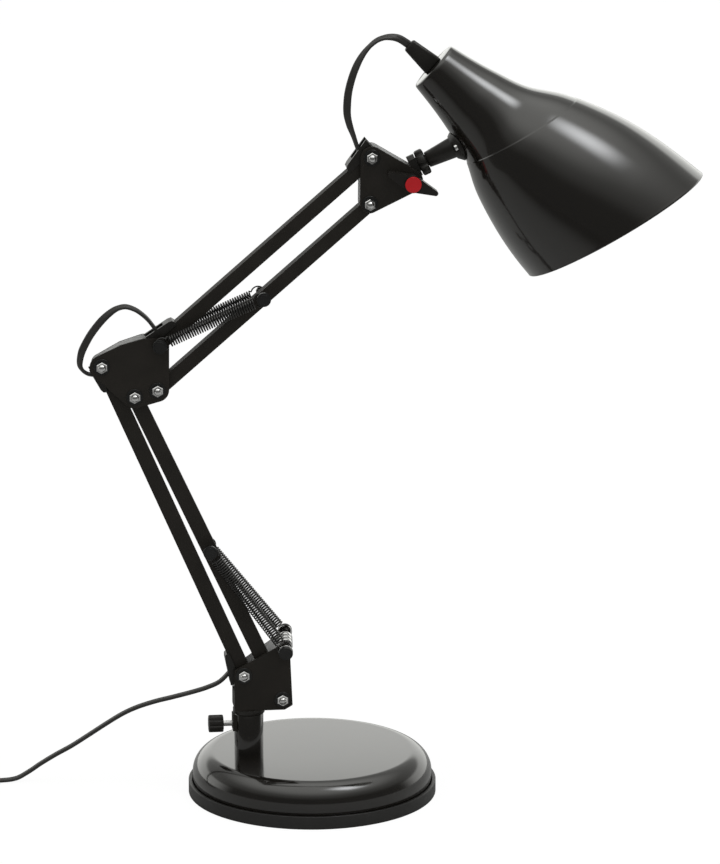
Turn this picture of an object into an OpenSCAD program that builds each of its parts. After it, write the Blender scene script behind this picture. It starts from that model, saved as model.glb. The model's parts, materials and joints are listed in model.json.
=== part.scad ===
// Swing-arm desk lamp. Millimetres, +Z up, arm in the XZ plane.
// Origin: centre of the foot's underside.

/* [Base] */
// Diameter of the foot ring
foot_d = 170; // [150:1:200]
// Height of the foot ring
foot_h = 9; // [8:0.5:14]
// Radial width of the foot ring outside the cover
foot_rim = 2.9; // [2:0.1:6]
// Height of the domed cover's flat top above the desk
base_h = 29.3; // [26:0.1:40]
// Radius of the cover's shoulder
cover_round = 14.5; // [10:0.5:18]
// Thickness of the pressed steel cover
cover_t = 1.2; // [0.8:0.1:2]
// Thickness of the soft pad under the foot
pad_t = 2; // [1:0.1:3]

/* [Post] */
// Distance of the post's axis inside the edge of the foot
post_inset = 41.4; // [36:0.1:55]
// Outer diameter of the post
post_d = 20; // [16:0.5:26]
// Wall of the post
post_wall = 1.5; // [1:0.1:2.5]
// Length of the post above the cover
post_len = 28.7; // [24:0.1:60]
// Height of the bush between the post and the bracket
collar_h = 3.2; // [2:0.1:6]
// Drop of the thumb screw below the top of the post
thumb_drop = 7.6; // [6.2:0.1:12]
// Diameter of the thumb knob
knob_d = 12.2; // [10:0.1:18]
// Length of the thumb knob
knob_len = 10; // [8:0.1:14]

/* [Arms] */
// Thickness of the arm tubes across the arm
bar_side = 8; // [7:0.5:8]
// Depth of the lower arm's tubes
lower_deep = 10.3; // [8:0.1:10.4]
// Depth of the upper arm's tubes
upper_deep = 9.1; // [8:0.1:10]
// Wall of the arm tubes
bar_wall = 1; // [0.8:0.1:1.2]
// Diameter of the pivot bolts
bolt_d = 4; // [3:0.5:4.5]
// Pivot to pivot length of the lower arm's rear bar
lower_len = 240; // [200:1:300]
// Angle of the rear bar from the horizontal
lower_angle = 113.3; // [108:0.1:116]
// Distance between the pivots in the lower bracket
lower_gap = 32; // [31:0.1:36]
// Direction from the rear pivot to the front pivot there
lower_gap_angle = -34.3; // [-36:0.1:-32]
// Distance between the lower arm's pivots in the middle bracket
mid_gap = 30.8; // [30.4:0.1:34]
// Direction from the rear pivot to the front pivot there
mid_gap_angle = -44.2; // [-44.4:0.1:-40]
// Pivot to pivot length of the upper arm
upper_len = 191; // [160:1:240]
// Angle of the upper arm from the horizontal
upper_angle = 41; // [36:0.2:46]
// Distance between the upper arm's two pivots
upper_gap = 31.9; // [30:0.1:36]
// Direction from the lower pivot to the upper pivot
upper_gap_angle = 87.5; // [84:0.5:90]

/* [Brackets] */
// Sheet thickness of the three brackets
sheet = 1.5; // [1:0.1:2]
// Outside width of the lower bracket
lower_w = 18; // [16:0.5:22]
// Outside width of the middle and top brackets
joint_w = 14; // [13.5:0.1:16]
// Radius of the brackets' corners around a pivot
corner_r = 8; // [7:0.1:9]

/* [Springs] */
// Outer diameter of the tension springs
spring_d = 8.3; // [7:0.1:9]
// Diameter of the spring wire
wire_d = 1; // [0.8:0.1:1.2]
// Outer diameter of the hook rings at the spring ends
hook_d = 10.2; // [9:0.1:12]
// Distance along the lower arm from its front pivot to the spring bolt
lower_anchor = 118.6; // [100:0.5:150]
// Distance along the upper arm from its low pivot to the spring bolt
upper_anchor = 95.2; // [80:0.5:120]
// Centre distance of the two lower springs
lower_spring_w = 23; // [22:0.5:26]
// Centre distance of the two upper springs
upper_spring_w = 20; // [19:0.5:24]

/* [Head] */
// Diameter of the tilt bolt
tilt_d = 6; // [5:0.5:7]
// Angle of the neck above the horizontal
neck_angle = 24.9; // [15:0.5:35]
// Length of the neck tube
neck_len = 19; // [16:0.5:30]
// Diameter of the neck tube at its narrow end
neck_d1 = 11; // [10.4:0.1:13]
// Diameter of the neck tube at the shade
neck_d2 = 14.4; // [12:0.1:16]
// Outer diameter of the lobed lock ring
lock_d = 18; // [16:0.2:22]
// Span of the wing nut from tip to tip
wing_span = 37; // [30:1:46]
// Diameter of the red cap
cap_d = 11; // [9:0.1:12]

/* [Shade] */
// Downward angle of the shade's axis
shade_angle = 42.2; // [30:0.5:55]
// Turn of the head about the neck
head_roll = -8; // [-20:1:20]
// Radius of the shade's closed end
shade_r0 = 18.6; // [17:0.1:22]
// Radius of the shade at its mouth
shade_r1 = 66; // [60:0.5:75]
// Length of the shade to the far edge of its mouth
shade_len = 185; // [170:1:200]
// Sheet thickness of the shade
shade_t = 1; // [0.8:0.1:1.5]
// Slant of the mouth against a square cut
mouth_slant = 17.9; // [10:0.5:22]
// Outer diameter of the lamp holder
holder_d = 28; // [26:0.5:30]
// Length of the lamp holder
holder_len = 44; // [36:1:50]

/* [Cord] */
// Width of the flat twin cord
cord_w = 5.5; // [5:0.1:5.8]
// Thickness of the flat twin cord
cord_t = 2.8; // [2.4:0.1:3]
// Turns in one layer of the stored coil
coil_turns = 3; // [2:1:4]
// Layers in the stored coil
coil_layers = 2; // [1:1:3]

/* [Hidden] */
$fn = 64;

run = 0.05;      // radial clearance of a running fit
slip = 0.2;      // gap where one piece drops into another
side_gap = 0.3;  // gap beside a moving piece

// Base
cover_r = foot_d / 2 - foot_rim;
pad_r = cover_r - 8;
sill_t = 3;
weight_bottom = sill_t + slip;
head_room = 9;
washer_t = 1.2;
foot_chamfer = 0.5;

// Post and swivel
post_x = foot_d / 2 - post_inset;
post_top = base_h + post_len;
post_r = post_d / 2;
post_bore = post_r - post_wall;
plug_len = 12;
stud_r = 5;
swivel_r = post_bore - run;
swivel_depth = 13;
rivet_r = 5;
thumb_z = post_top - thumb_drop;
thumb_r = 2;
boss_w = 10;
boss_h = 11.4;
boss_top = post_top - 0.7;
boss_len = 1.3;
thumb_gap = 6.4;
bracket_z = post_top + side_gap + collar_h;

// Pivots, as [x, z]
function step(p, a, d) = p + d * [cos(a), sin(a)];
b1 = [-post_x - 4.1, bracket_z + 25.3];
b2 = step(b1, lower_gap_angle, lower_gap);
a1 = step(b1, lower_angle, lower_len);
a2 = step(a1, mid_gap_angle, mid_gap);
front = a2 - b2;
front_len = norm(front);
front_angle = atan2(front[1], front[0]);
c1 = a1 + [37.5, -17.4];
d1 = step(c1, upper_gap_angle, upper_gap);
t2 = step(c1, upper_angle, upper_len);
t1 = step(d1, upper_angle, upper_len);
bracket_left = b1[0] - 6.4;
// The lower spring pin leans: its near end sits at pin_near
pin_near = b2 + [1.9, 35.6];
pin_reach = 14.4;
pin_lean = [0.08, 0.205];
pin_len = 2 * pin_reach * norm([pin_lean[0], 1, pin_lean[1]]);
function pin_at(y) = pin_near + (y + pin_reach) * pin_lean;
lower_anchor_p = step(b2, front_angle, lower_anchor);
upper_anchor_p = step(c1, upper_angle, upper_anchor);
tilt_p = t2 + [28.1, 15.1];
neck_p = tilt_p + [6.3, 10.4];
shade_p = neck_p + [9.5, 65.6];

// Bars, bolts and clips
half = bar_side / 2;
bolt_r = bolt_d / 2;
cavity = bar_side - 2 * bar_wall;
open_bore = 1.5;   // radial clearance at the front bar's top pivot, where the linkage is open
rear_drop = 0.8;   // tube centre inside the line of its pivots
upper_drop = 1.2;
spacer_r = 3.6;
nut_af_r = bolt_r * 2.02;
washer_r = bolt_r + 3.6;
head_r = bolt_r + 1.6;
spring_head_r = 4.8;
far_head_r = 3;
clip_t = 1;
clip_y = half + side_gap / 2 + clip_t;
mouth_a = 4.5;
mouth_h = 7;
slot_len = 8;

// Cord routes, chosen by hand: the first two from the pivot beside their start
function beside(p, route) = [for (q = route) [p[0] + q[0], q[1], p[1] + q[2]]];
mid_route = beside(a1, [
    [-9, 0, -6], [-12.6, 0, -3.2], [-14.2, 0, 1], [-12.9, 0, 8.8], [-9.4, 0, 16.3],
    [-5.4, 0, 22.8], [0.6, 0, 30.3], [6.6, 0, 35.8], [11.6, 0, 38.8], [17.1, 0, 39.8],
    [23.1, 0, 37.8], [28.1, 0, 34.3], [32.6, 0, 29.8]
]);
head_route = beside(t1, [
    [-11.6, 0, 13.5], [-14.1, 0, 20.5], [-15.8, 0, 28], [-15.9, 0, 35.5], [-15.1, 0, 43.5],
    [-13.1, 0, 52], [-10.1, 1, 60], [-6.1, 3, 67], [-1.1, 5, 72.8], [5.4, 7.5, 77.3],
    [12.4, 9, 78.8], [19.9, 10.4, 77.5]
]);
mains_route = [
    [-63, 1, 80.5], [-71, 3, 76], [-81, 6, 72], [-95, 11, 67], [-107, 15, 63],
    [-119, 19, 58], [-129, 22, 52.5], [-140, 26, 44.5], [-151, 30, 36], [-163, 34, 27],
    [-174, 37, 20], [-184, 40, 13], [-193, 41.5, 6.5], [-202, 41, 2.2], [-215, 39.5, 1.6],
    [-238, 38, 1.6]
];
mid_twist = [[0, 0], [0.15, 10], [0.3, 55], [0.5, 50], [0.65, 15], [1, 0]];
head_twist = [[0, 0], [0.15, 40], [0.3, 65], [0.55, 45], [0.7, 5], [0.82, 15], [1, 90]];
coil_pitch = 5.6;
layer_h = 3;
coil_r = 33;
coil_out = coil_r + (coil_turns - 1) / 2 * coil_pitch;
coil_c = [-281, 38 + coil_out];
tail_x = coil_c[0] - coil_out;
plug_at = [tail_x, coil_c[1] + 72];
tail_route = [
    [tail_x, coil_c[1] + 21, 4.4], [tail_x, coil_c[1] + 33, 4.6], [tail_x, coil_c[1] + 45, 5.4],
    [tail_x, plug_at[1] - 16, 6]
];

// Head
eye_r = 7;
knuckle_r = 8;
eye_w = joint_w - 2 * sheet - 2 * side_gap;
shoulder_r = 5;
neck_stud_r = 4;
lock_len = 6;
lock_start = -0.8;
neck_start = lock_start + lock_len + side_gap;
neck_end = neck_start + neck_len;
hub_r = 6;
hub_start = joint_w / 2 + 0.8;
wing_start = lock_d / 2 + 0.7;
wing_t = 7;
saddle_r = 11.5;
saddle_t = 9;
screw_r = 1.5;
relief_len = 21.5;
relief_w = 14.2;
relief_tip_w = 9.2;
relief_stem_r = 4.8;
ring_t = 2.5;
ring_r = 9;
ring_bore = 5;
holder_z = shade_t + ring_t;   // start of the lamp holder along the shade
socket_floor = 14;
socket_r = 7.2;
shell_len = 14;
contact_t = 0.4;
contact_r = 2;

// Cylinder along Y at [x, z], from y0 to y1
module pin(p, r, y0, y1, sides = 64) {
    translate([p[0], y0, p[1]]) rotate([-90, 0, 0]) cylinder(r = r, h = y1 - y0, $fn = sides);
}
// Stretch of the leaning spring pin, measured from its near end
module slant_pin(r, from, to, sides = 64) {
    translate([pin_near[0], -pin_reach, pin_near[1]]) rotate([atan(pin_lean[1]), 0, -atan(pin_lean[0])])
        rotate([-90, 0, 0]) translate([0, 0, from]) cylinder(r = r, h = to - from, $fn = sides);
}
// Outline in XZ, thick from y0 to y1
module slab(y0, y1) {
    translate([0, y1, 0]) rotate([90, 0, 0]) linear_extrude(y1 - y0) children();
}
module disc(p, r) {
    translate(p) circle(r = r, $fn = 32);
}
// Ring of round wire that stands in the XZ plane
module wire_ring(p, y, r) {
    translate([p[0], y, p[1]]) rotate([90, 0, 0]) rotate_extrude()
        translate([r, 0]) circle(d = wire_d, $fn = 16);
}
// Frame whose X runs along a bar and whose Z points away from the other bar
module along(p, a) {
    translate([p[0], 0, p[1]]) rotate([0, -a, 0]) children();
}
function local(p, a, u, h) = [p[0] + u * cos(a) - h * sin(a), 0, p[1] + u * sin(a) + h * cos(a)];

// Smooth path through hand-chosen points
function blend(p, i, t) =
    let (a = p[max(i - 1, 0)], b = p[i], c = p[i + 1], d = p[min(i + 2, len(p) - 1)])
    0.5 * (2 * b + (c - a) * t + (2 * a - 5 * b + 4 * c - d) * t * t + (3 * b - a - 3 * c + d) * t * t * t);
function smooth(p, n) = concat(
    [for (i = [0 : len(p) - 2]) for (k = [0 : n - 1]) blend(p, i, k / n)], [p[len(p) - 1]]);
function unit(v) = v / norm(v);
// Flat cord. The twist table gives its roll along the path: at 0 its width lies along Y
module cord(p, twist = [[0, 0]]) {
    sides = 8;
    n = len(p);
    rings = [for (i = [0 : n - 1])
        let (t = unit(p[min(i + 1, n - 1)] - p[max(i - 1, 0)]),
             u = unit(cross(t, [0, 1, 0])),
             v = cross(t, u),
             a = lookup(i / (n - 1), twist))
        for (k = [0 : sides - 1])
            p[i] + cord_t / 2 * cos(360 * k / sides) * (cos(a) * u + sin(a) * v)
                 + cord_w / 2 * sin(360 * k / sides) * (cos(a) * v - sin(a) * u)];
    last = (n - 1) * sides;
    faces = concat(
        [[for (k = [0 : sides - 1]) k]],
        [for (i = [0 : n - 2]) for (k = [0 : sides - 1]) for (corner = [0, 1])
            let (here = i * sides, next = here + sides, k2 = (k + 1) % sides)
            corner == 0 ? [here + k, next + k, next + k2] : [here + k, next + k2, here + k2]],
        [[for (k = [sides - 1 : -1 : 0]) last + k]]);
    polyhedron(points = rings, faces = faces);
}

// ---- Base ----
module cover_profile(t) {
    r = cover_round - t;
    polygon(concat(
        [[0, weight_bottom], [cover_r - t, weight_bottom]],
        [for (a = [0 : 7.5 : 90]) [cover_r - cover_round + r * cos(a), base_h - cover_round + r * sin(a)]],
        [[0, base_h - t]]));
}
module base_cover() {
    color("#101012") difference() {
        rotate_extrude($fn = 128) difference() {
            cover_profile(0);
            cover_profile(cover_t);
        }
        translate([-post_x, 0, weight_bottom]) cylinder(r = stud_r + slip, h = base_h);
    }
}
module base_weight() {
    top = base_h - cover_t;
    edge = cover_r - cover_t - 3;
    color("#4a4a4c") difference() {
        rotate_extrude() polygon([
            [0, weight_bottom], [edge, weight_bottom], [edge, base_h - cover_round],
            [cover_r - cover_round, top], [0, top]]);
        translate([-post_x, 0, 0]) cylinder(r = stud_r + slip, h = base_h);
        translate([-post_x, 0, 0]) cylinder(r = 13, h = weight_bottom + head_room + washer_t);
    }
}
module base_ring() {
    r = foot_d / 2;
    color("#1a1a1a") rotate_extrude($fn = 128) polygon([
        [pad_r + slip, 0], [r - foot_chamfer, 0], [r, foot_chamfer],
        [r, foot_h - foot_chamfer], [r - foot_chamfer, foot_h],
        [cover_r + slip, foot_h], [cover_r + slip, sill_t], [pad_r + slip, sill_t]]);
}
module base_pad() {
    color("#222222") cylinder(r = pad_r, h = pad_t);
}

// ---- Post ----
module post() {
    color("#101012") difference() {
        translate([-post_x, 0, base_h]) cylinder(r = post_r, h = post_len);
        translate([-post_x, 0, base_h - 1]) cylinder(r = post_bore, h = post_len + 2);
        translate([-post_x, 0, thumb_z]) rotate([0, -90, 0]) cylinder(r = thumb_r + slip, h = post_d);
    }
}
module post_plug() {
    color("silver") difference() {
        translate([-post_x, 0, base_h]) cylinder(r = post_bore, h = plug_len);
        translate([-post_x, 0, base_h - 1]) cylinder(r = stud_r, h = plug_len + 2);
    }
}
module post_bolt() {
    seat = weight_bottom + head_room;
    color("silver") translate([-post_x, 0, 0]) {
        translate([0, 0, seat]) cylinder(r = 11, h = washer_t);
        translate([0, 0, seat - 6.4]) cylinder(r = 9.2, h = 6.4, $fn = 6);
        translate([0, 0, seat]) cylinder(r = stud_r - run, h = base_h + plug_len - seat - 2);
    }
}
module thumb_boss() {
    color("#161616") difference() {
        translate([-post_x - post_r - boss_len, -boss_w / 2, boss_top - boss_h])
            cube([post_r, boss_w, boss_h]);
        translate([-post_x, 0, thumb_z - boss_h]) cylinder(r = post_r, h = 2 * boss_h);
        translate([-post_x - 2 * post_r, 0, thumb_z]) rotate([0, 90, 0])
            cylinder(r = thumb_r + run, h = 2 * post_r);
    }
}
module thumb_screw() {
    tip = post_x + swivel_r + 0.1;
    reach = post_r + boss_len + thumb_gap + 6;
    color("silver") translate([-post_x - reach, 0, thumb_z]) rotate([0, 90, 0])
        cylinder(r = thumb_r, h = reach + post_x - tip);
}
module thumb_knob() {
    lobes = 8;
    front = post_x + post_r + boss_len + thumb_gap;
    color("#141414") translate([-front, 0, thumb_z]) rotate([0, -90, 0]) difference() {
        cylinder(r = knob_d / 2, h = knob_len);
        for (k = [0 : lobes - 1]) rotate([0, 0, 360 / lobes * k])
            translate([knob_d / 2 + 0.6, 0, -1]) cylinder(r = 1.5, h = knob_len + 2, $fn = 24);
        translate([0, 0, -1]) cylinder(r = thumb_r, h = 7);
    }
}

// ---- Swivel and lower bracket ----
module swivel_pin() {
    color("silver") translate([-post_x, 0, 0]) {
        translate([0, 0, post_top - swivel_depth]) cylinder(r = swivel_r, h = swivel_depth + side_gap);
        translate([0, 0, post_top]) cylinder(r = rivet_r, h = bracket_z + sheet + 1.4 - post_top);
        translate([0, 0, bracket_z + sheet]) cylinder(r = rivet_r + 2, h = 1.4);
    }
}
module swivel_collar() {
    color("#141414") translate([-post_x, 0, post_top + side_gap]) difference() {
        cylinder(r = post_r + 0.9, h = collar_h);
        translate([0, 0, -1]) cylinder(r = rivet_r, h = collar_h + 2);
    }
}
module lower_outline(y) {
    hull() {
        disc([bracket_left + 1.5, bracket_z + 1.5], 1.5);
        disc([bracket_left + 2, b1[1] + 2.7 - (y > 0 ? 2.5 : 0)], 2);
        disc([b2[0] + 1.3, bracket_z + 1], 1);
        disc(b2 + [6, -3.6], 1);
        disc(pin_at(y) + [-0.9, -0.8], 3.8);
    }
}
module lower_bracket() {
    w = lower_w / 2;
    color("#18181a") difference() {
        union() {
            slab(-w, -w + sheet) lower_outline(-w);
            slab(w - sheet, w) lower_outline(w);
            translate([bracket_left + 1, -w, bracket_z]) cube([b2[0] + 0.3 - bracket_left, lower_w, sheet]);
            translate([bracket_left, -w, bracket_z + 1]) cube([sheet, lower_w, 12]);
        }
        for (p = [b1, b2]) pin(p, bolt_r + slip, -lower_w, lower_w);
        slant_pin(bolt_r, 0, pin_len);
        translate([-post_x, 0, bracket_z - 1]) cylinder(r = rivet_r, h = sheet + 2);
    }
}
// Bolt through a bracket of width w: head on the far side
module pivot_bolt(p, w) {
    pin(p, bolt_r, -w / 2 - 2.5, w / 2 + 1);
    pin(p, head_r, w / 2, w / 2 + 2.4);
}
// Washer, hexagon and domed end on the near side
module dome_nut(p, w) {
    y = -w / 2;
    difference() {
        union() {
            pin(p, washer_r, y - 0.6, y);
            pin(p, nut_af_r, y - 3.2, y - 0.6, 6);
            translate([p[0], y - 3.2, p[1]]) rotate([90, 0, 0])
                cylinder(r1 = nut_af_r * 0.86, r2 = nut_af_r * 0.45, h = 2.2);
        }
        pin(p, bolt_r, y - 3, y + 1);
    }
}
// Sleeve between a bar and the inside of a bracket of width w
module spacer_pair(p, w) {
    for (s = [-1, 1]) difference() {
        pin(p, spacer_r, s > 0 ? half + side_gap : sheet - w / 2, s > 0 ? w / 2 - sheet : -half - side_gap);
        pin(p, bolt_r + run, -w, w);
    }
}
module lower_pivot_bolts() {
    color("silver") for (p = [b1, b2]) pivot_bolt(p, lower_w);
}
module lower_pivot_nuts() {
    color("silver") for (p = [b1, b2]) dome_nut(p, lower_w);
}
module lower_spacers() {
    color("#202020") for (p = [b1, b2]) spacer_pair(p, lower_w);
}
module lower_spring_pin() {
    color("#1c1c1c") {
        slant_pin(bolt_r, -1, pin_len + 1);
        slant_pin(spring_head_r, -3, 0);
        slant_pin(spring_head_r, pin_len, pin_len + 3);
    }
}
module lower_pin_sleeves() {
    r = spring_head_r + 0.1;
    inner = pin_len / 2 - 6.4;
    third = 2 * 6.4 / 3;
    color("silver") difference() {
        union() {
            slant_pin(r, 0, 0.9);
            for (k = [0 : 2]) slant_pin(r, inner + k * third + 0.45, inner + (k + 1) * third - 0.45);
            slant_pin(r, pin_len - 0.9, pin_len);
        }
        slant_pin(bolt_r, -1, pin_len + 1);
    }
}

// ---- Bars ----
// Tube from p at angle a, round at both ends, set in from the line of its pivots by drop.
// Its far bore has the radial clearance far
module bar(p, a, l, deep, drop, far = run) {
    along(p, a) difference() {
        union() {
            translate([0, -half, -deep / 2 - drop]) cube([l, bar_side, deep]);
            for (x = [0, l]) translate([x, 0, 0]) scale([0.9, 1, 1]) pin([0, -drop], deep / 2, -half, half);
        }
        translate([-deep, -cavity / 2, -deep / 2 - drop + bar_wall])
            cube([l + 2 * deep, cavity, deep - 2 * bar_wall]);
        pin([0, 0], bolt_r + run, -bar_side, bar_side);
        pin([l, 0], bolt_r + far, -bar_side, bar_side);
        children();
    }
}
// Opening where the cord enters or leaves the tube, one near each end
module cord_slots(l, top) {
    for (x = [mouth_a - 1.6, l - mouth_a + 1.6 - slot_len])
        translate([x, -cavity / 2, top - bar_wall - 0.5]) cube([slot_len, cavity, bar_wall + 1]);
}
// Shroud over a slot: tall at the end of the bar and low along it
module clip(start, high, top) {
    end = mouth_a + 14;
    difference() {
        slab(-clip_y, clip_y) polygon([
            [start, top - 1.5], [start, high], [end - 3.5, mouth_h],
            [end - 1.2, mouth_h - 1], [end, top - 1.5]]);
        translate([start - 1, -half - side_gap / 2, top - bar_side])
            cube([30, bar_side + side_gap, bar_side]);
        translate([start - 1, -cord_w / 2 - 0.35, top - 1])
            cube([mouth_a + 7 - start, cord_w + 0.7, high]);
        pin([0, 0], spacer_r + slip, -clip_y - 1, clip_y + 1);
    }
}
// The cord inside a bar, from one slot to the other
function inner_half(drop) = [
    [mouth_a, mouth_h - 1.2], [mouth_a + 0.3, 4.4], [mouth_a + 1.6, 2.4],
    [mouth_a + 4.2, 0.6 - drop / 2], [mouth_a + 8, -drop]
];
function inner_path(p, a, l, drop) =
    let (h = inner_half(drop), n = len(h))
    concat(
        [for (i = [0 : n - 1]) local(p, a, h[i][0], h[i][1])],
        [for (k = [1 : 5]) local(p, a, l * k / 6, -drop)],
        [for (i = [n - 1 : -1 : 0]) local(p, a, l - h[i][0], h[i][1])]);

module lower_rear_bar() {
    color("#141414") bar(b1, lower_angle, lower_len, lower_deep, rear_drop)
        cord_slots(lower_len, lower_deep / 2 - rear_drop);
}
module lower_clips() {
    top = lower_deep / 2 - rear_drop;
    color("#101010") along(b1, lower_angle) {
        clip(-4, 11, top);
        translate([lower_len, 0, 0]) mirror([1, 0, 0]) clip(-1, 8.6, top);
    }
}
module lower_arm_cord() {
    color("#181818") cord(inner_path(b1, lower_angle, lower_len, rear_drop));
}
module lower_front_bar() {
    color("#141414") bar(b2, front_angle, front_len, lower_deep, 0, open_bore)
        pin([lower_anchor, 0], bolt_r, -bar_side, bar_side);
}
module spring_bolt(p, w) {
    y = w / 2 + 1.2;
    pin(p, bolt_r, -y, y);
    pin(p, spring_head_r, -y - 2.2, -y);
    pin(p, spring_head_r - 1.2, -y - 2.6, -y - 2.2);
    pin(p, far_head_r, y, y + 2.6, 6);
}
module lower_spring_bolt() {
    color("#1c1c1c") spring_bolt(lower_anchor_p, lower_spring_w);
}

// ---- Springs ----
// Close-wound body with a hook ring round a pin at each end
module spring(p, q, y) {
    ring_r = (hook_d - wire_d) / 2;
    seat = ring_r - wire_d / 2 - bolt_r - 0.1;
    u = unit(q - p);
    a = atan2(u[1], u[0]);
    start = seat + ring_r;
    l = norm(q - p) - 2 * start;
    difference() {
        translate([p[0] + u[0] * start, y, p[1] + u[1] * start]) rotate([0, 90 - a, 0])
            cylinder(d = spring_d, h = l);
        translate([p[0], y, p[1]]) rotate([0, 90 - a, 0])
            cylinder(d = spring_d - 2 * wire_d, h = l + 3 * start);
    }
    wire_ring(p + u * seat, y, ring_r);
    wire_ring(q - u * seat, y, ring_r);
}
module lower_springs() {
    color("#2a2a2c") for (y = [-1, 1] * lower_spring_w / 2) spring(pin_at(y), lower_anchor_p, y);
}
module upper_springs() {
    color("#2a2a2c") for (y = [-1, 1] * upper_spring_w / 2) spring(d1, upper_anchor_p, y);
}

// ---- Middle joint ----
// Corners at the rear are smaller by trim
module mid_outline(trim) {
    hull() {
        disc(a1, corner_r - trim);
        for (p = [a2, c1, a1 + [29.6, 11]]) disc(p, corner_r);
        disc(a1 + [16.1, 7.4], corner_r - trim / 3);
        disc(d1 + [3.5, 0.3], 3.4);
    }
}
// Two plates, held apart by the spacers
module mid_bracket() {
    w = joint_w / 2;
    color("#18181a") difference() {
        union() {
            slab(-w, -w + sheet) mid_outline(0);
            slab(w - sheet, w) mid_outline(2);
        }
        for (p = [a1, a2, c1]) pin(p, bolt_r + slip, -joint_w, joint_w);
        pin(d1, bolt_r, -joint_w, joint_w);
    }
}
module mid_pivot_bolts() {
    color("silver") for (p = [a1, a2, c1]) pivot_bolt(p, joint_w);
}
module mid_pivot_nuts() {
    color("silver") for (p = [a1, a2, c1]) dome_nut(p, joint_w);
}
module mid_spacers() {
    color("#202020") for (p = [a1, a2, c1, d1]) spacer_pair(p, joint_w);
}
module mid_spring_bolt() {
    color("#1c1c1c") spring_bolt(d1, upper_spring_w);
}
module loop_cord() {
    start = local(a1, lower_angle, -mouth_a, mouth_h);
    end = local(d1, upper_angle, mouth_a, mouth_h);
    color("#181818") cord(smooth(concat([start], mid_route, [end]), 3), mid_twist);
}

// ---- Upper arm ----
module upper_top_bar() {
    color("#141414") bar(d1, upper_angle, upper_len, upper_deep, upper_drop)
        cord_slots(upper_len, upper_deep / 2 - upper_drop);
}
module upper_clips() {
    top = upper_deep / 2 - upper_drop;
    color("#101010") along(d1, upper_angle) {
        clip(-4, 9.6, top);
        translate([upper_len, 0, 0]) mirror([1, 0, 0]) clip(-5, 11.6, top);
    }
}
module upper_arm_cord() {
    color("#181818") cord(inner_path(d1, upper_angle, upper_len, upper_drop));
}
module upper_low_bar() {
    color("#141414") bar(c1, upper_angle, upper_len, upper_deep, upper_drop)
        pin([upper_anchor, 0], bolt_r, -bar_side, bar_side);
}
module upper_spring_bolt() {
    color("#1c1c1c") spring_bolt(upper_anchor_p, upper_spring_w);
}

// ---- Top joint ----
module top_outline() {
    hull() {
        disc(t1, corner_r - 0.4);
        disc(t2, corner_r - 1.4);
        disc(tilt_p, corner_r);
    }
}
// Two plates, as at the middle joint
module top_bracket() {
    w = joint_w / 2;
    color("#18181a") difference() {
        for (y = [-w, w - sheet]) slab(y, y + sheet) top_outline();
        for (p = [t1, t2]) pin(p, bolt_r + slip, -joint_w, joint_w);
        pin(tilt_p, tilt_d / 2 + slip, -joint_w, joint_w);
    }
}
module top_pivot_bolts() {
    color("silver") for (p = [t1, t2]) pivot_bolt(p, joint_w);
}
module top_pivot_nuts() {
    color("silver") for (p = [t1, t2]) dome_nut(p, joint_w);
}
module top_spacers() {
    color("#202020") for (p = [t1, t2]) spacer_pair(p, joint_w);
}
module tilt_bolt() {
    w = joint_w / 2;
    color("silver") {
        pin(tilt_p, tilt_d / 2, -w - 9, w + 1);
        pin(tilt_p, tilt_d * 0.9, w, w + 4, 6);
    }
}
module wing_nut() {
    tip_r = 1.7;
    color("#141414") difference() {
        union() {
            pin(tilt_p, hub_r, -wing_start - wing_t - 0.6, -hub_start);
            for (s = [0, 180]) slab(-wing_start - wing_t, -wing_start) hull() {
                disc(tilt_p, hub_r - 0.4);
                disc(step(tilt_p, s - 24, wing_span / 2 - tip_r), tip_r);
            }
        }
        pin(tilt_p, tilt_d / 2 + run, -joint_w / 2 - 9.5, 0);
    }
}
module red_cap() {
    y = -wing_start - wing_t - 0.6;
    color("#b81c24") pin(tilt_p, cap_d / 2, y - 1.4, y);
}

// ---- Neck ----
module neck_frame() {
    along(neck_p, neck_angle) children();
}
module on_x(r1, r2, x0, x1) {
    translate([x0, 0, 0]) rotate([0, 90, 0]) cylinder(r1 = r1, r2 = r2, h = x1 - x0);
}
module neck_lug() {
    color("#161616") difference() {
        union() {
            pin(tilt_p, eye_r, -eye_w / 2, eye_w / 2);
            neck_frame() on_x(shoulder_r, shoulder_r, -5, neck_start - side_gap);
            neck_frame() on_x(neck_stud_r, neck_stud_r, 0, neck_start + 12);
            intersection() {
                neck_frame() on_x(knuckle_r, knuckle_r, -6.5, lock_start - 0.5);
                slab(-eye_w / 2, eye_w / 2) translate(neck_p) circle(r = 2 * knuckle_r);
            }
            slab(-eye_w / 2 + 0.6, eye_w / 2 - 0.6) hull() {
                disc(tilt_p, 4.2);
                disc(step(neck_p, neck_angle, -4.2), 3.2);
            }
        }
        pin(tilt_p, tilt_d / 2 + run, -joint_w, joint_w);
    }
}
module lock_ring() {
    lobes = 6;
    color("#121212") neck_frame() difference() {
        on_x(lock_d / 2, lock_d / 2, lock_start, lock_start + lock_len);
        on_x(shoulder_r + run, shoulder_r + run, lock_start - 1, lock_start + lock_len + 1);
        for (k = [0 : lobes - 1]) rotate([360 / lobes * (k + 0.5), 0, 0])
            translate([0, 0, lock_d / 2 + 1.9]) on_x(3, 3, lock_start - 1, lock_start + lock_len + 1);
    }
}
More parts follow.
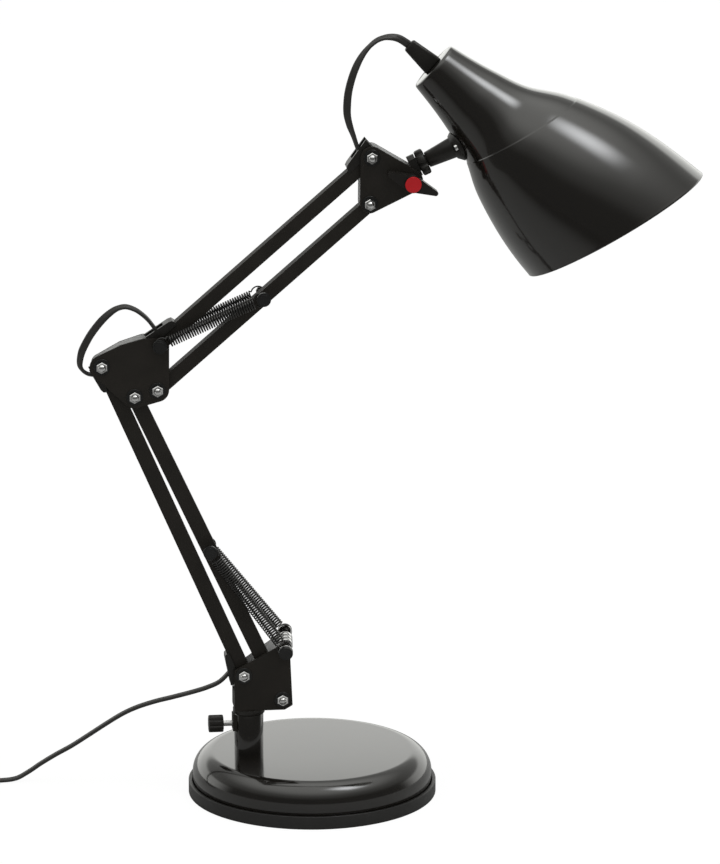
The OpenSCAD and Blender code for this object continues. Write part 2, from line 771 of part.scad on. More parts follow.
// Everything past the neck turns about it by head_roll
module head() {
    neck_frame() rotate([head_roll, 0, 0]) rotate([0, neck_angle, 0])
        translate([-neck_p[0], 0, -neck_p[1]]) children();
}
module shade_frame() {
    head() translate([shade_p[0], 0, shade_p[1]]) rotate([0, 90 + shade_angle, 0]) children();
}
module neck_tube() {
    color("#141414") head() neck_frame() difference() {
        on_x(neck_d1 / 2, neck_d2 / 2, neck_start, neck_end);
        on_x(neck_stud_r + run, neck_stud_r + run, neck_start - 1, neck_start + 13);
    }
}
module saddle() {
    color("#161616") difference() {
        head() neck_frame() {
            on_x(neck_d2 / 2 + 0.8, saddle_r, neck_end, neck_end + 4);
            on_x(saddle_r, saddle_r, neck_end + 4, neck_end + saddle_t);
        }
        shade_frame() rotate_extrude() shade_profile(0);
        for (s = [-1, 1]) saddle_hole(s) {
            cylinder(r = screw_r, h = 4 * saddle_t, center = true);
            translate([0, 0, -saddle_t]) cylinder(r = screw_r + 1.1, h = saddle_t + 3);
        }
    }
}
module saddle_hole(s) {
    head() neck_frame() translate([neck_end, s * (saddle_r - 3), 0]) rotate([0, 90, 0]) children();
}
module saddle_screws() {
    color("silver") for (s = [-1, 1]) saddle_hole(s) {
        translate([0, 0, 1.2]) cylinder(r = screw_r + 0.9, h = 1.8);
        translate([0, 0, 2.9]) cylinder(r = screw_r, h = 3.4);
    }
}

// ---- Shade ----
// Outer curve: share of the shade's length, and of the way from its end's radius to its mouth's
shade_shape = [
    [0.0135, 0.004], [0.0973, 0.0633], [0.1838, 0.1414], [0.3081, 0.2827], [0.4378, 0.5612],
    [0.6162, 0.8059], [0.7892, 0.9367], [1, 1], [1.1622, 1.0105]
];
shade_curve = [for (c = shade_shape) [c[0] * shade_len, shade_r0 + c[1] * (shade_r1 - shade_r0)]];
shade_end = shade_curve[len(shade_curve) - 1][0];
function shade_points(t) = [for (p = smooth(shade_curve, 5)) p - [0, t]];
module shade_profile(t) {
    polygon(concat([[0, t], [shade_r0 - 2.2 - t, t], [shade_r0 - 0.6 - t, t + 0.8]],
        [for (p = shade_points(t)) [p[1], max(p[0], t + 2.2)]], [[0, shade_end]]));
}
module shade() {
    color("#0e0e10") difference() {
        shade_frame() difference() {
            rotate_extrude($fn = 96) difference() {
                shade_profile(0);
                shade_profile(shade_t);
            }
            translate([0, 0, -1]) cylinder(r = 5, h = 6);
            mouth_cut();
        }
        for (s = [-1, 1]) saddle_hole(s) cylinder(r = screw_r + slip, h = saddle_t + 4);
    }
}
module mouth_cut() {
    s = 4 * shade_r1;
    translate([0, 0, shade_len - shade_r1 * tan(mouth_slant)]) rotate([0, mouth_slant, 0])
        translate([-s / 2, -s / 2, 0]) cube(s);
}
module retaining_ring() {
    color("#dddddd") shade_frame() translate([0, 0, shade_t]) difference() {
        cylinder(r = ring_r, h = ring_t);
        translate([0, 0, -1]) cylinder(r = ring_bore, h = ring_t + 2);
    }
}
module lamp_holder() {
    color("#e8e8e4") shade_frame() translate([0, 0, holder_z]) difference() {
        cylinder(r = holder_d / 2, h = holder_len);
        translate([0, 0, socket_floor]) cylinder(r = socket_r, h = holder_len);
        translate([0, 0, socket_floor - 2]) cylinder(r = contact_r + slip, h = 3);
        translate([0, 0, -1]) cylinder(r = 4, h = 8);
    }
}
// Threaded shell as a plain tube, and the centre contact in its pocket
module holder_contacts() {
    color("goldenrod") shade_frame() translate([0, 0, holder_z + socket_floor]) {
        translate([0, 0, -2]) cylinder(r = contact_r, h = 1.9);
        difference() {
            cylinder(r = socket_r, h = shell_len);
            translate([0, 0, -1]) cylinder(r = socket_r - contact_t, h = shell_len + 2);
        }
    }
}
module strain_relief() {
    color("#161616") shade_frame() {
        translate([0, 0, -relief_len]) hull() for (k = [[0, relief_tip_w], [relief_len - 0.01, relief_w]])
            translate([-k[1] / 2, -k[1] * 0.36, k[0]]) cube([k[1], k[1] * 0.72, 0.01]);
        cylinder(r = relief_stem_r, h = shade_t + 2);
    }
}
module head_cord() {
    start = local(t1, upper_angle, -mouth_a, mouth_h);
    color("#181818") cord(smooth(concat([start], head_route, [relief_tip]), 3), head_twist);
}
// Tip of the strain relief after the head's turn about the neck
function turned(p) =
    let (u = [cos(neck_angle), 0, sin(neck_angle)], o = [neck_p[0], 0, neck_p[1]], v = p - o)
    o + v * cos(head_roll) + cross(u, v) * sin(head_roll) + u * (u * v) * (1 - cos(head_roll));
relief_tip = turned([
    shade_p[0] - relief_len * cos(shade_angle), 0, shade_p[1] + relief_len * sin(shade_angle)]);

// ---- Mains cord ----
module mains_cord() {
    start = local(b1, lower_angle, mouth_a, mouth_h);
    coil_start = [coil_c[0] + 21, coil_c[1] - coil_out, cord_t / 2 + 0.2];
    color("#181818") {
        cord(smooth(concat([start], mains_route, [coil_start]), 3));
        cord(smooth(tail_route, 3), [[0, 90], [1, 90]]);
    }
}
module mains_coil() {
    r0 = coil_r - coil_turns * coil_pitch / 2;
    color("#181818") translate([coil_c[0], coil_c[1], 0]) rotate_extrude()
        translate([r0, 0]) square([coil_turns * coil_pitch, coil_layers * layer_h]);
}
module mains_plug() {
    color("#161616") translate([plug_at[0], plug_at[1], 0]) hull() {
        translate([-5, -16, 2]) cube([10, 1, 8]);
        translate([-13, 0, 1]) cube([26, 1, 14]);
        translate([-17.5, 18, 1]) cube([35, 1, 14]);
    }
}
module plug_pins() {
    color("goldenrod") for (s = [-1, 1])
        translate([plug_at[0] + s * 9.3, plug_at[1] + 19, 8]) rotate([-90, 0, 0]) cylinder(r = 2, h = 19);
}

base_cover();
base_weight();
base_ring();
base_pad();
post();
post_plug();
post_bolt();
thumb_boss();
thumb_screw();
thumb_knob();
swivel_pin();
swivel_collar();
lower_bracket();
lower_pivot_bolts();
lower_pivot_nuts();
lower_spacers();
lower_spring_pin();
lower_pin_sleeves();
lower_rear_bar();
lower_clips();
lower_arm_cord();
lower_front_bar();
lower_spring_bolt();
lower_springs();
mid_bracket();
mid_pivot_bolts();
mid_pivot_nuts();
mid_spacers();
mid_spring_bolt();
loop_cord();
upper_top_bar();
upper_clips();
upper_arm_cord();
upper_low_bar();
upper_spring_bolt();
upper_springs();
top_bracket();
top_pivot_bolts();
top_pivot_nuts();
top_spacers();
tilt_bolt();
wing_nut();
red_cap();
neck_lug();
lock_ring();
neck_tube();
saddle();
saddle_screws();
shade();
retaining_ring();
lamp_holder();
holder_contacts();
strain_relief();
head_cord();
mains_cord();
mains_coil();
mains_plug();
plug_pins();
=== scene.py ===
import json
import math

import bmesh
import bpy
from mathutils import Matrix, Vector


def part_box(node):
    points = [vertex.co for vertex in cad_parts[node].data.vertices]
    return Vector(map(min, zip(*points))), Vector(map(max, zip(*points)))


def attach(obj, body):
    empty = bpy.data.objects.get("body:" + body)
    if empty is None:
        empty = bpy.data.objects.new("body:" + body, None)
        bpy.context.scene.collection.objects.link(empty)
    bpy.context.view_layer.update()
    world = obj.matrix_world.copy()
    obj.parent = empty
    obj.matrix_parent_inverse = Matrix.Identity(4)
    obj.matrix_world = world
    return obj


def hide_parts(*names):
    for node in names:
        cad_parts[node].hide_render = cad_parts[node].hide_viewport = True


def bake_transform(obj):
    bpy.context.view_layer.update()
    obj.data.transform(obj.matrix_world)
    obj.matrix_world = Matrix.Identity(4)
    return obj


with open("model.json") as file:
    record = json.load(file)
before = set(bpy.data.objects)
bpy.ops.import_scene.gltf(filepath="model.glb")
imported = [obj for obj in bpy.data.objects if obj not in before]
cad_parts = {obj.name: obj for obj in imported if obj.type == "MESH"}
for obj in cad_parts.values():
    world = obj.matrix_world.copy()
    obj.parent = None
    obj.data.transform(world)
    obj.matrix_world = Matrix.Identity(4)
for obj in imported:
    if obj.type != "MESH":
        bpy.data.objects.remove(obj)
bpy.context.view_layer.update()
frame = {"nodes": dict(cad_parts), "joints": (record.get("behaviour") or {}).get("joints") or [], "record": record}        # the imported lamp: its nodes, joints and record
mm = 0.001
joints = {j["name"]: j for j in frame["joints"]}
mounts = {m["name"]: m for m in frame["record"]["mounts"]}
slots = {s["node"]: s["material_slot"] for s in frame["record"]["subparts"]}
across = Vector((0, 1, 0))                           # along the pivot bolts, away from the nuts
up = Vector((0, 0, 1))


def pivot(joint):
    return Vector(joints[joint]["pos_m"])


def spot(origin, x, z, y=0.0):
    # a point given in millimetres from another one
    return origin + Vector((x, y, z)) * mm


lowerRear, lowerFront = pivot("lower_arm"), pivot("lower_front")
upperRear, upperFront = pivot("upper_arm"), pivot("upper_front")
elbowEnd, armEnd = pivot("elbow_level"), pivot("top_level")
neckPoint = pivot("head_swivel")
lowerAlong = (elbowEnd - lowerRear).normalized()     # up the lower arm
upperAlong = (armEnd - upperRear).normalized()       # out along the upper arm
elbowFront = spot(elbowEnd, 22.1, -21.5)             # where the lower arm's front bar ends
frontAlong = (elbowFront - lowerFront).normalized()
armEndFront = upperFront + armEnd - upperRear
neckAxis = Vector(joints["head_swivel"]["axis"]).normalized()
shadeAxis = Vector(mounts["lamp_socket"]["axis"]).normalized()   # from the closed end to the mouth
shadeSide = neckAxis.cross(shadeAxis).normalized().cross(shadeAxis)
socketDepth = 24.5 * mm                              # from the shade's closed end to the socket's mount
shadeEnd = Vector(mounts["lamp_socket"]["pos_m"]) - shadeAxis * socketDepth


# ---- Camera ----
print("camera")
cameraSetup = dict(turn=6.5, drop=15.5, distance=4.5, lens=272.4, aim=(0.0399, 0.0592, 0.2381))


def makeCamera():
    turn, drop = math.radians(cameraSetup["turn"]), math.radians(cameraSetup["drop"])
    forward = Vector((math.sin(turn) * math.cos(drop), math.cos(turn) * math.cos(drop), -math.sin(drop)))
    camera = bpy.data.objects.new("camera", bpy.data.cameras.new("camera"))
    camera.data.lens = cameraSetup["lens"]
    camera.data.sensor_width = 36
    camera.data.clip_end = 50
    camera.location = Vector(cameraSetup["aim"]) - forward * cameraSetup["distance"]
    camera.rotation_euler = forward.to_track_quat("-Z", "Y").to_euler()
    bpy.context.scene.collection.objects.link(camera)
    bpy.context.scene.camera = camera


makeCamera()
bpy.context.scene.view_settings.view_transform = "Standard"


# ---- Shader writing ----
class Wire:
    def __init__(self, tree, socket):
        self.tree, self.socket = tree, socket

    def reckon(self, operation, first, second):
        node = self.tree.nodes.new("ShaderNodeMath")
        node.operation = operation
        for put, value in zip(node.inputs, (first, second)):
            if isinstance(value, Wire):
                self.tree.links.new(value.socket, put)
            else:
                put.default_value = value
        return Wire(self.tree, node.outputs[0])

    def __add__(self, other):
        return self.reckon("ADD", self, other)

    def __radd__(self, other):
        return self.reckon("ADD", other, self)

    def __sub__(self, other):
        return self.reckon("SUBTRACT", self, other)

    def __rsub__(self, other):
        return self.reckon("SUBTRACT", other, self)

    def __mul__(self, other):
        return self.reckon("MULTIPLY", self, other)

    def __rmul__(self, other):
        return self.reckon("MULTIPLY", other, self)

    def __gt__(self, other):
        return self.reckon("GREATER_THAN", self, other)


class Graph:
    def __init__(self, tree):
        self.tree = tree

    def node(self, kind, settings=None, inputs=None, output=0):
        node = self.tree.nodes.new(kind)
        for name, value in (settings or {}).items():
            setattr(node, name, value)
        for name, value in (inputs or {}).items():
            if isinstance(value, Wire):
                self.tree.links.new(value.socket, node.inputs[name])
            else:
                node.inputs[name].default_value = value
        return Wire(self.tree, node.outputs[output])

    def mixColour(self, share, first, second):
        return self.node(
            "ShaderNodeMix", dict(data_type="RGBA"), {0: share, 6: first, 7: second}, 2)

    def place(self, output="Object"):
        return self.node("ShaderNodeTexCoord", output=output)

    def part(self, vector, axis):
        return self.node("ShaderNodeSeparateXYZ", None, dict(Vector=vector), axis)

    def noise(self, scale, detail=3):
        return self.node("ShaderNodeTexNoise", None, dict(
            Vector=self.place(), Scale=scale, Detail=detail))

    def ease(self, value, low, high, start=0.0, end=1.0):
        return self.node("ShaderNodeMapRange", dict(interpolation_type="SMOOTHSTEP"), {
            "Value": value, "From Min": low, "From Max": high, "To Min": start, "To Max": end})

    def seenBy(self, ray):
        return self.node("ShaderNodeLightPath", output=ray)


class Finish(Graph):
    def __init__(self, name, **constants):
        self.material = bpy.data.materials.new(name)
        self.material.use_nodes = True
        super().__init__(self.material.node_tree)
        self.shader = self.tree.nodes["Principled BSDF"]
        for socket, value in constants.items():
            self.shader.inputs[socket.replace("_", " ")].default_value = value

    def feed(self, socket, value):
        self.tree.links.new(value.socket, self.shader.inputs[socket])

    def bump(self, height, strength, distance):
        self.feed("Normal", self.node("ShaderNodeBump", None, dict(
            Height=height, Strength=strength, Distance=distance)))


def grey(level, warm=0.0):
    return (level * (1 + warm), level, level * (1 - warm), 1)


# ---- Finishes ----
print("finishes")
glossLook = dict(
    colour=0.007, rough=0.17, vary=0.05, coat=1.0, coatRough=0.07, peel=260, lift=0.010,
    dustScale=3800, dustAbove=0.74, dustRough=0.12)
satinLook = dict(colour=0.022, rough=0.50, grain=2600, lift=0.06, inside=0.004, bare=0.93, specular=0.2)
mouldLook = dict(cloudScale=70, darker=0.8, lighter=1.25, vary=0.12, depth=0.0003)
steelLook = dict(markScale=2600, markAbove=0.62, markRough=0.08)


def glossPaint():
    look = glossLook
    paint = Finish("glossPaint", Coat_Roughness=look["coatRough"], Coat_Weight=look["coat"])
    cloud = paint.noise(22)
    dust = paint.noise(look["dustScale"], 1)
    paint.feed("Base Color", paint.mixColour(
        cloud, grey(look["colour"] * 0.8, 0.2), grey(look["colour"] * 1.3, 0.25)))
    specks = (dust > look["dustAbove"]) * look["dustRough"]
    paint.feed("Roughness", look["rough"] + (cloud - 0.5) * look["vary"] + specks)
    paint.bump(paint.noise(look["peel"], 2), look["lift"], 0.001)
    return paint.material


def moulded(name, level, rough, grain, lift, warm=0.0, specular=0.42):
    look = mouldLook
    plastic = Finish(name, Specular_IOR_Level=specular)
    cloud = plastic.noise(look["cloudScale"])
    plastic.feed("Base Color", plastic.mixColour(
        cloud, grey(level * look["darker"], warm), grey(level * look["lighter"], warm)))
    plastic.feed("Roughness", rough + (cloud - 0.5) * look["vary"])
    plastic.bump(plastic.noise(grain, 2), lift, look["depth"])
    return plastic.material


def metal(name, dark, light, rough, spread, metallic=1.0, scale=420):
    steel = Finish(name, Metallic=metallic)
    cloud = steel.noise(scale)
    marks = steel.noise(steelLook["markScale"], 2)
    steel.feed("Base Color", steel.mixColour(cloud, dark, light))
    scuffs = (marks > steelLook["markAbove"]) * steelLook["markRough"]
    steel.feed("Roughness", rough + cloud * spread + scuffs)
    steel.bump(marks, 0.05, 0.0002)
    return steel.material


def platePaint():
    # satin paint outside; the inner faces of the plates are left pale
    look, mould = satinLook, mouldLook
    plate = Finish("platePaint", Specular_IOR_Level=look["specular"])
    cloud = plate.noise(mould["cloudScale"])
    facing, offset = plate.part(plate.place("Normal"), "Y"), plate.part(plate.place(), "Y")
    inner = (0.0 - facing * offset) > look["inside"]
    dark, light = look["colour"] * mould["darker"], look["colour"] * mould["lighter"]
    paint = plate.mixColour(cloud, grey(dark, 0.12), grey(light, 0.16))
    plate.feed("Base Color", plate.mixColour(inner, paint, grey(look["bare"])))
    plate.feed("Roughness", look["rough"] + (cloud - 0.5) * mould["vary"])
    plate.bump(plate.noise(look["grain"], 2), look["lift"], mould["depth"])
    return plate.material


def redPlastic():
    cap = Finish("redPlastic", Specular_IOR_Level=0.4)
    cloud = cap.noise(160)
    cap.feed("Base Color", cap.mixColour(cloud, (0.60, 0.008, 0.013, 1), (0.72, 0.013, 0.022, 1)))
    cap.feed("Roughness", 0.36 + (cloud - 0.5) * 0.12)
    cap.bump(cap.noise(1800, 2), 0.04, 0.0002)
    return cap.material


def glazed(name, dark, light, rough):
    glaze = Finish(name)
    cloud = glaze.noise(40)
    glaze.feed("Base Color", glaze.mixColour(cloud, dark, light))
    glaze.feed("Roughness", rough + cloud * 0.1)
    glaze.bump(glaze.noise(400, 2), 0.02, 0.0006)
    return glaze.material


def castIron():
    iron = Finish("castIron", Specular_IOR_Level=0.4)
    cloud = iron.noise(140, 6)
    iron.feed("Base Color", iron.mixColour(cloud, grey(0.05), grey(0.11, 0.1)))
    iron.feed("Roughness", 0.6 + cloud * 0.25)
    iron.bump(cloud, 0.4, 0.001)
    return iron.material


finish = dict(
    gloss_paint=glossPaint(),
    bar_paint=moulded("satinPaint", satinLook["colour"], satinLook["rough"], satinLook["grain"],
                      satinLook["lift"], 0.14, 0.18),
    foot_ring=moulded("footRing", 0.024, 0.34, 2400, 0.10, 0.03),
    pad=moulded("pad", 0.022, 0.75, 1500, 0.30),
    iron=castIron(),
    plated_steel=metal("platedSteel", grey(0.82, 0.02), grey(0.96, -0.01), 0.09, 0.08),
    black_steel=moulded("blackSteel", 0.014, 0.32, 1600, 0.05),
    spring_steel=metal("springSteel", grey(0.045, 0.03), grey(0.11, 0.02), 0.24, 0.14, 0.85, 300),
    black_plastic=moulded("blackPlastic", 0.015, 0.34, 1800, 0.10, 0.12),
    red_plastic=redPlastic(),
    ceramic=glazed("ceramic", (0.72, 0.70, 0.64, 1), (0.80, 0.79, 0.75, 1), 0.2),
    brass=metal("brass", (0.58, 0.40, 0.14, 1), (0.78, 0.58, 0.24, 1), 0.2, 0.2, 1.0, 220),
    cord_sheath=moulded("cordSheath", 0.034, 0.42, 1500, 0.05, 0.05, 0.45))
plates = platePaint()
enamel = glazed("whiteEnamel", (0.78, 0.78, 0.75, 1), (0.84, 0.84, 0.82, 1), 0.3)


# ---- Making meshes ----
def standing(origin, axis, side=up):
    axis = Vector(axis).normalized()
    x = (Vector(side) - Vector(side).dot(axis) * axis).normalized()
    place = Matrix((x, axis.cross(x), axis)).transposed().to_4x4()
    place.translation = Vector(origin)
    return place


def arc(centre, radius, start, end, steps):
    # (z, r) points round centre, from the start angle to the end one; 0 is outwards and 90 is up
    turns = [math.radians(start + (end - start) * k / steps) for k in range(steps + 1)]
    return [(centre[0] + radius * math.sin(a), centre[1] + radius * math.cos(a)) for a in turns]


def roundedBox(halfWide, halfHigh, corner, steps=4):
    loop = []
    for quarter, (sx, sy) in enumerate([(1, 1), (-1, 1), (-1, -1), (1, -1)]):
        for k in range(steps + 1):
            a = math.pi / 2 * (quarter + k / steps)
            loop.append((sx * (halfWide - corner) + corner * math.cos(a),
                         sy * (halfHigh - corner) + corner * math.sin(a)))
    return loop


def smoothPath(points, steps):
    out = []
    last = len(points) - 1
    for i in range(last):
        a, b, c, d = points[max(i - 1, 0)], points[i], points[i + 1], points[min(i + 2, last)]
        for k in range(steps):
            t = k / steps
            out.append(0.5 * (2 * b + (c - a) * t + (2 * a - 5 * b + 4 * c - d) * t * t
                              + (3 * b - a - 3 * c + d) * t ** 3))
    return out + [points[-1]]


def pathLength(path):
    return sum((b - a).length for a, b in zip(path, path[1:]))


class Shape:
    def __init__(self):
        self.mesh = bmesh.new()

    def rings(self, loops, closed=False, paint=None):
        rows = [[self.mesh.verts.new(p) for p in loop] for loop in loops]
        count = len(rows[0])
        pairs = list(zip(rows, rows[1:])) + ([(rows[-1], rows[0])] if closed else [])
        for band, (low, high) in enumerate(pairs):
            for k in range(count):
                face = self.mesh.faces.new((low[k], low[(k + 1) % count], high[(k + 1) % count], high[k]))
                face.material_index = paint[band] if paint else 0
        if not closed:
            for row in (rows[0][::-1], rows[-1]):
                self.mesh.faces.new(row).material_index = paint[0] if paint else 0
        return self

    def turn(self, place, profile, sides=48, closed=False, wave=None, look=0):
        loops = []
        for z, r in profile:
            reach = [r * (wave(2 * math.pi * k / sides) if wave else 1) for k in range(sides)]
            loops.append([place @ Vector((
                reach[k] * math.cos(2 * math.pi * k / sides),
                reach[k] * math.sin(2 * math.pi * k / sides), z)) for k in range(sides)])
        return self.rings(loops, closed, [look] * len(loops))

    def stack(self, place, layers):
        # layers are (z, outline) pairs whose outlines have the same number of points
        return self.rings([[place @ Vector((x, y, z)) for x, y in outline] for z, outline in layers])

    def sweep(self, path, section, twist=None, flatFrom=None):
        n = len(path)
        loops = []
        for i, p in enumerate(path):
            t = (path[min(i + 1, n - 1)] - path[max(i - 1, 0)]).normalized()
            flat = flatFrom is not None and i >= flatFrom
            u = (t * t.z - up if flat else t.cross(across)).normalized()
            v = t.cross(u)
            a = twist(i / (n - 1)) if twist else 0.0
            thick = math.cos(a) * u + math.sin(a) * v
            wide = math.cos(a) * v - math.sin(a) * u
            loops.append([p + thick * s[0] + wide * s[1] for s in section])
        return self.rings(loops)

    def wire(self, path, radius, sides=8):
        # round wire; its frame is carried along so that it never flips
        n = len(path)
        u = None
        loops = []
        for i, p in enumerate(path):
            t = (path[min(i + 1, n - 1)] - path[max(i - 1, 0)]).normalized()
            u = (u - t * u.dot(t)).normalized() if u else t.orthogonal().normalized()
            v = t.cross(u)
            loops.append([p + radius * (math.cos(2 * math.pi * k / sides) * u
                                        + math.sin(2 * math.pi * k / sides) * v) for k in range(sides)])
        return self.rings(loops)

    def done(self, name, slotName, body=None, replaces=(), materials=(), sharp=35):
        bmesh.ops.recalc_face_normals(self.mesh, faces=self.mesh.faces)
        data = bpy.data.meshes.new(name)
        self.mesh.to_mesh(data)
        self.mesh.free()
        data.shade_smooth()
        data.set_sharp_from_angle(angle=math.radians(sharp))
        piece = bpy.data.objects.new(name, data)
        bpy.context.scene.collection.objects.link(piece)
        for one in materials or [finish[slotName]]:
            data.materials.append(one)
        if body:
            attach(piece, body)
        if replaces:
            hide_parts(*replaces)
        return piece


# ---- Cords ----
print("cords")
flexSize = dict(width=5.5 * mm, thick=2.8 * mm, waist=0.22, mouthAlong=4.5 * mm, mouthOut=7 * mm)
midRoute = [
    (-9, 0, -6), (-12.6, 0, -3.2), (-14.2, 0, 1), (-12.9, 0, 8.8), (-9.4, 0, 16.3), (-5.4, 0, 22.8),
    (0.6, 0, 30.3), (6.6, 0, 35.8), (11.6, 0, 38.8), (17.1, 0, 39.8), (23.1, 0, 37.8), (28.1, 0, 34.3),
    (32.6, 0, 29.8)]
headRoute = [
    (-11.6, 0, 13.5), (-14.1, 0, 20.5), (-15.8, 0, 28), (-15.9, 0, 35.5), (-15.1, 0, 43.5),
    (-13.1, 0, 52), (-10.1, 1, 60), (-6.1, 3, 67), (-1.1, 5, 72.8), (5.4, 7.5, 77.3),
    (12.4, 9, 78.8), (19.9, 10.4, 77.5)]
mainsRoute = [
    (-63, 1, 80.5), (-71, 3, 76), (-81, 6, 72), (-95, 11, 67), (-107, 15, 63),
    (-119, 19, 58), (-129, 22, 52.5), (-140, 26, 44.5), (-151, 30, 36), (-163, 34, 27),
    (-174, 37, 20), (-184, 40, 13), (-193, 41.5, 6.5), (-202, 41, 2.2), (-215, 39.5, 1.6),
    (-238, 38, 1.6)]
midTwist = [(0, 0), (0.15, 10), (0.3, 55), (0.5, 50), (0.65, 15), (1, 0)]
headTwist = [(0, 0), (0.15, 40), (0.3, 65), (0.55, 45), (0.7, 5), (0.82, 15), (1, 90)]
coilSetup = dict(
    pitch=5.6 * mm, layer=3 * mm, stepsPerTurn=48, turns=5.25, jog=(0.86, 1.0), climb=(2.68, 2.86),
    gap=0.2 * mm, leadIn=21 * mm)
mainsSetup = dict(cut=32, plugHeight=6 * mm, tailOut=22 * mm)
reliefSetup = dict(length=21.5 * mm, wide=(9.2, 14.2), flat=0.72)


def twistOf(table):
    def at(share):
        for (s0, a0), (s1, a1) in zip(table, table[1:]):
            if share <= s1:
                return math.radians(a0 + (a1 - a0) * (share - s0) / (s1 - s0))
        return math.radians(table[-1][1])
    return at


def flexSection(steps=24):
    half, thick = flexSize["width"] / 2, flexSize["thick"] / 2
    section = []
    for k in range(steps):
        a = 2 * math.pi * k / steps
        wide = half * math.sin(a)
        dip = 1 - flexSize["waist"] * math.exp(-(wide / (0.22 * half)) ** 2)
        section.append((thick * math.copysign(abs(math.cos(a)) ** 0.8, math.cos(a)) * dip, wide))
    return section


def barMouth(pivotPoint, along, side):
    out = Vector((-along.z, 0, along.x))
    return pivotPoint + along * side * flexSize["mouthAlong"] + out * flexSize["mouthOut"]


def cutPath(path, twist, count):
    # cuts a path into equal lengths, each with its own stretch of the twist
    n = len(path) - 1
    whole, run, marks = pathLength(path), 0.0, [0]
    for i in range(1, n + 1):
        run += (path[i] - path[i - 1]).length
        if len(marks) < count and run >= whole * len(marks) / count:
            marks.append(i)
    marks.append(n)
    return [(path[a:b + 1], lambda share, a=a, b=b: twist((a + share * (b - a)) / n))
            for a, b in zip(marks, marks[1:])]


def declare(path):
    pathLength(path)


def bentCord(name, path, twist, spans, node):
    for (part, turn), (a, b), label in zip(cutPath(path, twist, len(spans)), spans, "ABC"):
        piece = Shape().sweep(part, flexSection(), turn).done(
            name + label, "cord_sheath", None, [node], sharp=70)
        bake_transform(piece)
        declare(part)


def ease(x, low, high):
    t = min(max((x - low) / (high - low), 0.0), 1.0)
    return t * t * (3 - 2 * t)


def coilPath(low, high):
    # three rings inwards on the floor, then out again on top of them, with a short jog between rings
    size = coilSetup
    middle = (low + high) / 2
    outer = (high.x - low.x) / 2 - size["pitch"] / 2
    points = []
    for k in range(int(size["turns"] * size["stepsPerTurn"]) + 1):
        turn = k / size["stepsPerTurn"]
        whole = math.floor(turn)
        moved = ease(turn - whole, *size["jog"])
        steps = [0, 1, 2, 2, 1, 0]
        ring = steps[whole] + (steps[min(whole + 1, 5)] - steps[whole]) * moved
        r = outer - ring * size["pitch"]
        height = flexSize["thick"] / 2 + size["gap"] + size["layer"] * ease(turn, *size["climb"])
        a = -math.pi / 2 - 2 * math.pi * turn
        points.append(Vector((middle.x + r * math.cos(a), middle.y + r * math.sin(a), height)))
    return points


def makeLoopCord():
    path = [barMouth(elbowEnd, lowerAlong, -1)] + [spot(elbowEnd, x, z, y) for x, y, z in midRoute]
    path = smoothPath(path + [barMouth(upperRear, upperAlong, 1)], 10)
    spans = [("rear_bar", "elbow"), ("elbow", "top_bar")]
    bentCord("loopCord", path, twistOf(midTwist), spans, "loop_cord")


def makeHeadCord():
    path = [barMouth(armEnd, upperAlong, -1)] + [spot(armEnd, x, z, y) for x, y, z in headRoute]
    path = smoothPath(path + [shadeEnd - shadeAxis * reliefSetup["length"]], 10)
    spans = [("top_bar", "top_joint"), ("top_joint", "lug"), ("lug", "head")]
    bentCord("headCord", path, twistOf(headTwist), spans, "head_cord")


def makeMainsCord(pieces):
    coil = coilPath(*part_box("mains_coil"))
    lead = [barMouth(lowerRear, lowerAlong, 1)] + [Vector(p) * mm for p in mainsRoute]
    lead = smoothPath(lead + [coil[0] + Vector((coilSetup["leadIn"], 0, 0)), coil[0]], 8)
    low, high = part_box("mains_plug")
    into = Vector(((low.x + high.x) / 2, low.y, mainsSetup["plugHeight"]))
    tail = smoothPath([
        coil[-1], coil[-1] + Vector((0, mainsSetup["tailOut"], 0)),
        into - Vector((0, 12 * mm, 0.5 * mm)), into], 8)
    cut = mainsSetup["cut"]
    first, rest = lead[:cut + 1], lead[cut:-1] + coil + tail[1:]
    snub = Shape().sweep(first, flexSection()).done(
        "mainsCordTop", "cord_sheath", None, ["mains_cord"], sharp=70)
    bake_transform(snub)
    declare(first)
    main = Shape().sweep(rest, flexSection(), None, len(lead) - cut - 9).done(
        "mainsCord", "cord_sheath", None, ["mains_cord", "mains_coil"], sharp=70)
    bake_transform(main)
    declare(rest)


# ---- Plug ----
plugSetup = dict(pinOut=9.3 * mm, pinRadius=2 * mm, sleeve=9 * mm)


